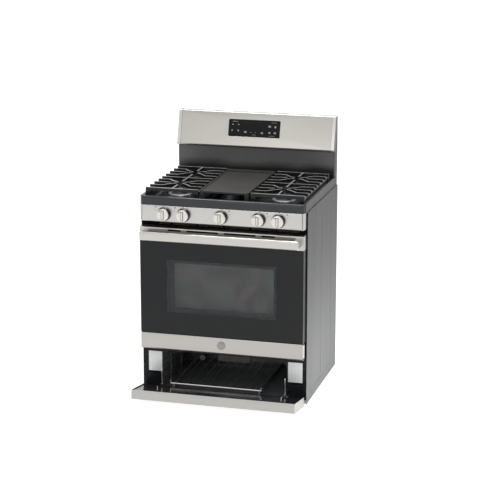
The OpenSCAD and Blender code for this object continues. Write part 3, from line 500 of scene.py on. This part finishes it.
def corner_arcs(corners, shrink, steps):
    """Outline around corner arcs (a, b, radius), listed anticlockwise, drawn in by shrink."""
    points = []
    count = len(corners)
    for i, (a, b, radius) in enumerate(corners):
        pa, pb, pr = corners[i - 1]
        na, nb, nr = corners[(i + 1) % count]
        start = tangent_angle((pa, pb, pr), (a, b, radius))
        sweep = (tangent_angle((a, b, radius), (na, nb, nr)) - start) % (2 * math.pi)
        for k in range(steps + 1):
            angle = start + sweep * k / steps
            r = max(radius - shrink, 0)
            points.append((a + r * math.cos(angle), b + r * math.sin(angle)))
    return points


def tangent_angle(p, q):
    """Direction of the outward normal of the line that touches circles p and q on the outside."""
    dx, dy = q[0] - p[0], q[1] - p[1]
    return math.atan2(dy, dx) - math.pi / 2 + math.asin((p[2] - q[2]) / math.hypot(dx, dy))


def bar_along_x(corners, x0, x1, end, steps, arc_steps):
    """Bar with the (y, z) outline of corner_arcs(), its ends rounded off. Millimetres."""
    bm = bmesh.new()
    rings = []
    stations = []
    for k in range(steps + 1):
        angle = math.pi / 2 * k / steps
        stations.append((x0 + end * (1 - math.sin(angle)), end * (1 - math.cos(angle))))
    stations = sorted(stations)
    stations += [(x1 - (x - x0), shrink) for x, shrink in reversed(stations)]
    for x, shrink in stations:
        rings.append([bm.verts.new(at(x, y, z)) for y, z in corner_arcs(corners, shrink, arc_steps)])
    for a, b in zip(rings, rings[1:]):
        for i in range(len(a)):
            j = (i + 1) % len(a)
            bm.faces.new((a[i], a[j], b[j], b[i]))
    bm.faces.new(rings[0])
    bm.faces.new(reversed(rings[-1]))
    bmesh.ops.remove_doubles(bm, verts=bm.verts, dist=1e-7)
    return bm


def rounded_box(lo, hi, radius, steps=4):
    """Box between two corners in millimetres, every edge rounded."""
    y0, y1 = lo[1] + radius, hi[1] - radius
    z0, z1 = lo[2] + radius, hi[2] - radius
    corners = [(y0, z0, radius), (y1, z0, radius), (y1, z1, radius), (y0, z1, radius)]
    return bar_along_x(corners, lo[0], hi[0], end=radius, steps=steps, arc_steps=steps)


def plain_box(lo, hi):
    """Box between two corners in millimetres, its edges left sharp."""
    bm = bmesh.new()
    made = bmesh.ops.create_cube(bm, size=1)
    low, high = at(*lo), at(*hi)
    for v in made["verts"]:
        v.co = (low + high) / 2 + Vector([c * (h - l) for c, h, l in zip(v.co, high, low)])
    return bm


def lathe(profile, centre, count):
    """Turns (radius, distance forwards) points in millimetres about the y axis through centre."""
    bm = bmesh.new()
    turn = Matrix.Rotation(math.pi / 2, 3, "X")
    rings = []
    for radius, height in profile:
        if radius < 1e-6:
            rings.append([bm.verts.new(centre + turn @ Vector((0, 0, height * MM)))])
            continue
        rings.append([bm.verts.new(centre + turn @ Vector((
            radius * MM * math.cos(2 * math.pi * k / count),
            radius * MM * math.sin(2 * math.pi * k / count), height * MM))) for k in range(count)])
    for a, b in zip(rings, rings[1:]):
        for k in range(count):
            j = (k + 1) % count
            loop = [a[k % len(a)], a[j % len(a)], b[j % len(b)], b[k % len(b)]]
            loop = [v for i, v in enumerate(loop) if v not in loop[:i]]
            if len(loop) > 2:
                bm.faces.new(loop)
    return bm


def join_shapes(*shapes):
    """One bmesh that holds several."""
    whole = bmesh.new()
    for bm in shapes:
        mesh = bpy.data.meshes.new("part")
        bm.to_mesh(mesh)
        bm.free()
        whole.from_mesh(mesh)
        bpy.data.meshes.remove(mesh)
    return whole


# ---------------------------------------------------------------- pieces

# A wider rounding than this takes a third segment, in millimetres
WIDE_ROUNDING = 1.5
# Edge rounding of the nodes whose shape is kept, in millimetres
EDGE_ROUNDING = {
    "side_panel_left": 0.7, "side_panel_right": 0.7, "front_frame": 0.8, "control_panel": 0.6,
    "cooktop": 1.2, "cooktop_side_trims": 0.8, "burner_heads": 0.8, "burner_caps": 0.9,
    "backguard_lower": 1.0, "backguard_rear_cover": 1.0, "console_panel": 0.7,
    "console_end_caps": 4.5, "display_glass": 0.4, "griddle": 1.6,
    "grate_left": 2.4, "grate_right": 2.4,
    "door_top_band": 0.9, "door_glass": 0.5, "door_lower_trim": 0.7, "handle_brackets": 2.5,
    "broil_door_front": 0.6, "broil_door_inner": 0.5, "broil_hinge_arms": 0.4,
    "flame_spreader": 0.4, "hinge_sockets": 0.6, "leveling_legs": 0.8,
}


def soften_nodes():
    """Rounds the edges of the nodes whose shape is kept."""
    for node, width in EDGE_ROUNDING.items():
        softened(node, width)


def add_handle():
    """Oven door handle: a bar with softly rounded ends."""
    lo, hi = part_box("door_handle")
    half = hi.x / MM
    y0, y1 = (lo.y - FRONT_Y) / MM, (hi.y - FRONT_Y) / MM
    z0, z1 = lo.z / MM, hi.z / MM
    front, back, end = 7.5, 5.0, 4.5
    corners = [(y0 + front, z0 + front, front), (y1 - back, z0 + back, back),
               (y1 - back, z1 - back, back), (y0 + front, z1 - front, front)]
    bar = add_piece("handle_bar", bar_along_x(corners, -half, half, end, steps=6, arc_steps=10),
                    "oven_door", "stainless", stainless("handle_steel", (0.51, 0.495, 0.465)), smooth=50)
    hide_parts("door_handle")


KNOB_X = [-259, -170, 0, 170, 259]
KNOB_Z = 849


def stud(x, z, radius, front, crown, depth):
    """Small round stud or printed dot whose slightly crowned face is front millimetres forwards."""
    profile = [(0, front), (radius, front - crown), (radius, front - depth), (0, front - depth)]
    return lathe(profile, at(x, 0, z), 16)


def knob_marks(x):
    """Dark strips beside the grip bar, painted shade; dots on the cap; and dots at the grip bar's ends."""
    painted_strip_x, painted_strip_w, painted_strip_reach = (-6.4, 4.6), 1.8, 20
    cap_dots = [(-13, 16, 2.6), (-7, 19.5, 1.5)]
    grip_dots = [(19, 2.3), (-19, 2.0)]
    # Painted shade: dark strips beside the grip bar
    shapes = [plain_box((x + a, -28.1, KNOB_Z - painted_strip_reach), (x + a + painted_strip_w, -27, KNOB_Z + painted_strip_reach))
              for a in painted_strip_x]
    shapes += [stud(x + dx, KNOB_Z + dz, r, 28.1, 0.1, 1.5) for dx, dz, r in cap_dots]
    shapes += [stud(x, KNOB_Z + dz, r, 32.15, 0.05, 1.15) for dz, r in grip_dots]
    return join_shapes(*shapes)


def add_knobs():
    """Satin caps with a grip bar, dark marks and painted shade beside the grip, on dark skirts."""
    dark = satin_metal("knob_skirt", (0.1, 0.098, 0.094), 0.18, 0.28)
    # Dark ink for the dots and for the painted shade beside the grip
    ink_and_shade = ink("knob_ink_and_painted_shade", (0.035, 0.028, 0.022))
    face = [(0, 27.9), (12, 27.7), (22, 27.2), (25.6, 26.6), (27.0, 25.6), (27.5, 24), (27.4, 22.8),
            (0, 22.8)]
    skirt = [(0, 22.9), (26.8, 22.9), (27.6, 22), (29.4, 9.5), (30.2, 7.2), (31, 6.2), (31, 3.6),
             (29, 3.4), (0, 3.4)]
    grip_half, grip_reach, grip_y = 4.6, 24.5, (-32, -24)
    for i, x in enumerate(KNOB_X, 1):
        centre = at(x, 0, KNOB_Z)
        body = f"knob_{i}"
        grip = rounded_box((x - grip_half, grip_y[0], KNOB_Z - grip_reach),
                           (x + grip_half, grip_y[1], KNOB_Z + grip_reach), 3.4)
        shape = join_shapes(lathe(face, centre, 72), grip)
        cap = add_piece(f"knob_cap_{i}", shape, body, "knob_metal")
        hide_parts(f"knob_{i}")
        add_piece(f"knob_marks_{i}", knob_marks(x), body, "knob_metal", ink_and_shade)
        base = add_piece(f"knob_skirt_{i}", lathe(skirt, centre, 72), body, "knob_metal", dark)
        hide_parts(f"knob_{i}")


def add_panel_marks():
    """Small printed dots round each knob, without words or numbers."""
    dots = []
    for x, side in zip(KNOB_X, (-1, -1, 1, 1, 1)):
        places = [(side * 38, 30, 3.0), (side * 42, 17, 1.6), (side * 2, 34.2, 2.0), (-side * 34, 20, 1.4)]
        dots += [stud(x + dx, KNOB_Z + dz, r, 0.25, 0.05, 0.55) for dx, dz, r in places]
    add_piece("panel_marks", join_shapes(*dots), "cabinet", "stainless",
              ink("panel_ink", (0.03, 0.03, 0.032)))


def add_display_marks():
    """Plain pictogram shapes on the display's glass."""
    lo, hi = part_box("display_glass")
    # The console's face starts here and leans back by this much over its height
    foot_y, foot_z, lean, height = 573, 1046, 40, 161
    glass_start, glass_height, sunk, thickness = 52, 79, 0.85, 0.3
    tilt = math.atan2(lean, height)
    up = Vector((0, math.sin(tilt), math.cos(tilt)))
    out = Vector((0, -math.cos(tilt), math.sin(tilt)))
    foot = Vector((lo.x, at(0, foot_y, 0).y, foot_z * MM))
    origin = foot + up * glass_start * MM - out * sunk * MM
    square = [(-1, -1), (1, -1), (1, 1), (-1, 1)]
    triangle = [(-1, 1), (0, -1), (1, 1)]
    # Place across and up the glass as fractions, half width and half height in mm, outline
    marks = [
        (0.127, 0.88, 13, 1.0, square), (0.08, 0.70, 4, 2.2, square), (0.19, 0.70, 3.5, 2.2, square),
        (0.068, 0.33, 4.6, 4.0, triangle), (0.19, 0.33, 4.8, 4.2, triangle), (0.33, 0.28, 5.6, 3.8, square),
        (0.435, 0.27, 3.2, 0.9, square), (0.525, 0.27, 1.4, 1.4, square), (0.655, 0.255, 5.2, 3.6, square),
        (0.80, 0.66, 6.2, 3.6, square), (0.91, 0.64, 4.2, 4.2, square), (0.80, 0.29, 4.6, 3.8, square),
        (0.905, 0.29, 5.2, 3.8, square), (0.88, 0.88, 12, 0.7, square), (0.85, 0.10, 13, 0.7, square),
        (0.5, 0.13, 9, 0.6, square),
    ]
    bm = bmesh.new()
    for u, v, half_w, half_h, outline in marks:
        middle = origin + Vector((u * (hi.x - lo.x), 0, 0)) + up * (v * glass_height * MM)
        front = [bm.verts.new(middle + Vector((a * half_w * MM, 0, 0)) + up * (b * half_h * MM))
                 for a, b in outline]
        back = [bm.verts.new(vert.co - out * thickness * MM) for vert in front]
        bm.faces.new(front)
        bm.faces.new(reversed(back))
        for k in range(len(front)):
            j = (k + 1) % len(front)
            bm.faces.new((front[k], back[k], back[j], front[j]))
    add_piece("display_marks", bm, "cabinet", "display", pictogram("display_pictogram"))


def add_badge():
    """Plain round badge, without a mark, on the oven door's lower trim."""
    disc = [(0, 1.5), (15.5, 1.4), (16.4, 1.9), (18.2, 1.9), (19, 1.2), (19, -0.4), (0, -0.4)]
    badge_z = 264
    add_piece("door_badge", lathe(disc, at(0, 0, badge_z), 64), "oven_door", "stainless",
              satin_metal("badge_metal", (0.27, 0.265, 0.255), 0.3, 0.42))


def add_label_plates():
    """Blank plates on the pillars beside the broiler compartment."""
    silver = label_face("label_face")
    z0, z1, y0, y1 = 106, 199, 45.4, 46.6
    for name, x0, x1 in (("left", -353, -290), ("right", 295, 361)):
        plate = rounded_box((x0, y0, z0), (x1, y1, z1), 0.55, steps=2)
        add_piece(f"label_plate_{name}", plate, "cabinet", "black_enamel", silver)


def add_burner_ports():
    """Dark boxes in the flame ports round each burner: painted shade."""
    burner_x, burner_y, count = (-240, 240), (183, 415), 30
    inner, outer, half_width, z0, z1 = 35.2, 36.25, 0.9, 911.5, 916.5
    shapes = []
    for x in burner_x:
        for y in burner_y:
            for k in range(count):
                port = plain_box((-half_width, inner, z0), (half_width, outer, z1))
                spin = Matrix.Rotation(2 * math.pi * k / count, 4, "Z")
                turn = Matrix.Translation(at(x, y, 0)) @ spin @ Matrix.Translation(-at(0, 0, 0))
                bmesh.ops.transform(port, matrix=turn, verts=port.verts)
                shapes.append(port)
    add_piece("burner_ports", join_shapes(*shapes), "cabinet", "aluminium", satin_black_shade("port_shadow"))


def add_vent_painted_shade():
    """Black strips in the vent slots of the oven door's top band: painted shade."""
    slots = [(-243, -183), (-157, -13), (13, 157), (183, 243)]
    z0, z1 = 772.5, 780.3
    # Painted shade in the slots
    shapes = [plain_box((x0, -0.3, z0), (x1, 1, z1)) for x0, x1 in slots]
    add_piece("vent_painted_shade", join_shapes(*shapes), "oven_door", "stainless", ENAMEL_WITH_PAINTED_SHADE)


def add_panel_painted_reflections():
    """Dark strips near the control panel's rounded ends: painted reflection."""
    lo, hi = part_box("control_panel")
    painted_strip_x, half_width, inset = 366, 0.7, 3
    z0, z1 = lo.z / MM + inset, hi.z / MM - inset
    # Painted reflection: the dark line on each rounded end
    shapes = [plain_box((x - half_width, -0.25, z0), (x + half_width, 0.5, z1)) for x in (-painted_strip_x, painted_strip_x)]
    add_piece("panel_painted_reflections", join_shapes(*shapes), "cabinet", "stainless",
              ink("panel_end_painted_reflection", (0.03, 0.03, 0.032)))


soften_nodes()
add_handle()
add_knobs()
add_panel_marks()
add_display_marks()
add_badge()
add_label_plates()
add_burner_ports()
add_vent_painted_shade()
add_panel_painted_reflections()


# ---------------------------------------------------------------- camera, lights, floor

def add_camera():
    """The photograph's angle, solved from the range's straight edges."""
    azimuth, elevation, distance = math.radians(15.31), math.radians(14.43), 8.002
    target = at(0, 317, 624)
    away = Vector((math.sin(azimuth) * math.cos(elevation), -math.cos(azimuth) * math.cos(elevation),
                   math.sin(elevation)))
    data = bpy.data.cameras.new("camera")
    data.lens = 126.5
    data.sensor_width = 36
    data.clip_end = 200
    camera = bpy.data.objects.new("camera", data)
    camera.location = target + away * distance
    camera.rotation_euler = (-away).to_track_quat("-Z", "Y").to_euler()
    bpy.context.scene.collection.objects.link(camera)
    bpy.context.scene.camera = camera


def add_light(name, place, aim, size, power):
    """Soft rectangular lamp, in metres and watts."""
    data = bpy.data.lights.new(name, "AREA")
    data.shape = "RECTANGLE"
    data.size, data.size_y = size
    data.energy = power
    light = bpy.data.objects.new(name, data)
    light.location = place
    light.rotation_euler = (Vector(aim) - Vector(place)).to_track_quat("-Z", "Y").to_euler()
    bpy.context.scene.collection.objects.link(light)


def studio_world():
    """White studio, dimmer on the range's right."""
    world = bpy.data.worlds.new("studio")
    world.use_nodes = True
    tree = world.node_tree
    background = tree.nodes["Background"]
    background.inputs["Color"].default_value = (1, 1, 1, 1)
    direction = tree.nodes.new("ShaderNodeSeparateXYZ")
    tree.links.new(tree.nodes.new("ShaderNodeTexCoord").outputs["Generated"], direction.inputs[0])
    side = tree.nodes.new("ShaderNodeMapRange")
    tree.links.new(direction.outputs["X"], side.inputs["Value"])
    for socket, value in (("From Min", 0.1), ("From Max", 0.9), ("To Min", 1.0), ("To Max", 0.45)):
        side.inputs[socket].default_value = value
    tree.links.new(side.outputs["Result"], background.inputs["Strength"])
    return world


def add_stage():
    """White floor and studio, outside the part."""
    floor_half = 60
    bm = bmesh.new()
    bmesh.ops.create_grid(bm, x_segments=2, y_segments=2, size=floor_half)
    mesh = bpy.data.meshes.new("floor")
    bm.to_mesh(mesh)
    bm.free()
    mesh.materials.append(floor_finish("floor"))
    floor = bpy.data.objects.new("floor", mesh)
    bpy.context.scene.collection.objects.link(floor)
    bpy.context.scene.world = studio_world()
    bpy.context.scene.view_settings.view_transform = "Standard"
    bpy.context.scene.view_settings.look = "None"


def add_lights():
    """Front and top lamps, and a low one for the foot of the right side panel."""
    middle = (0, 0, 0.7)
    add_light("key", (-0.4, -4.2, 2.1), middle, (2.2, 1.4), 14)
    add_light("top", (0.0, 0.3, 3.4), middle, (2.0, 1.0), 75)
    add_light("kick", (0.95, 0.1, 0.08), (0.38, 0.1, 0.14), (0.8, 0.16), 7)


add_camera()
add_stage()
add_lights()
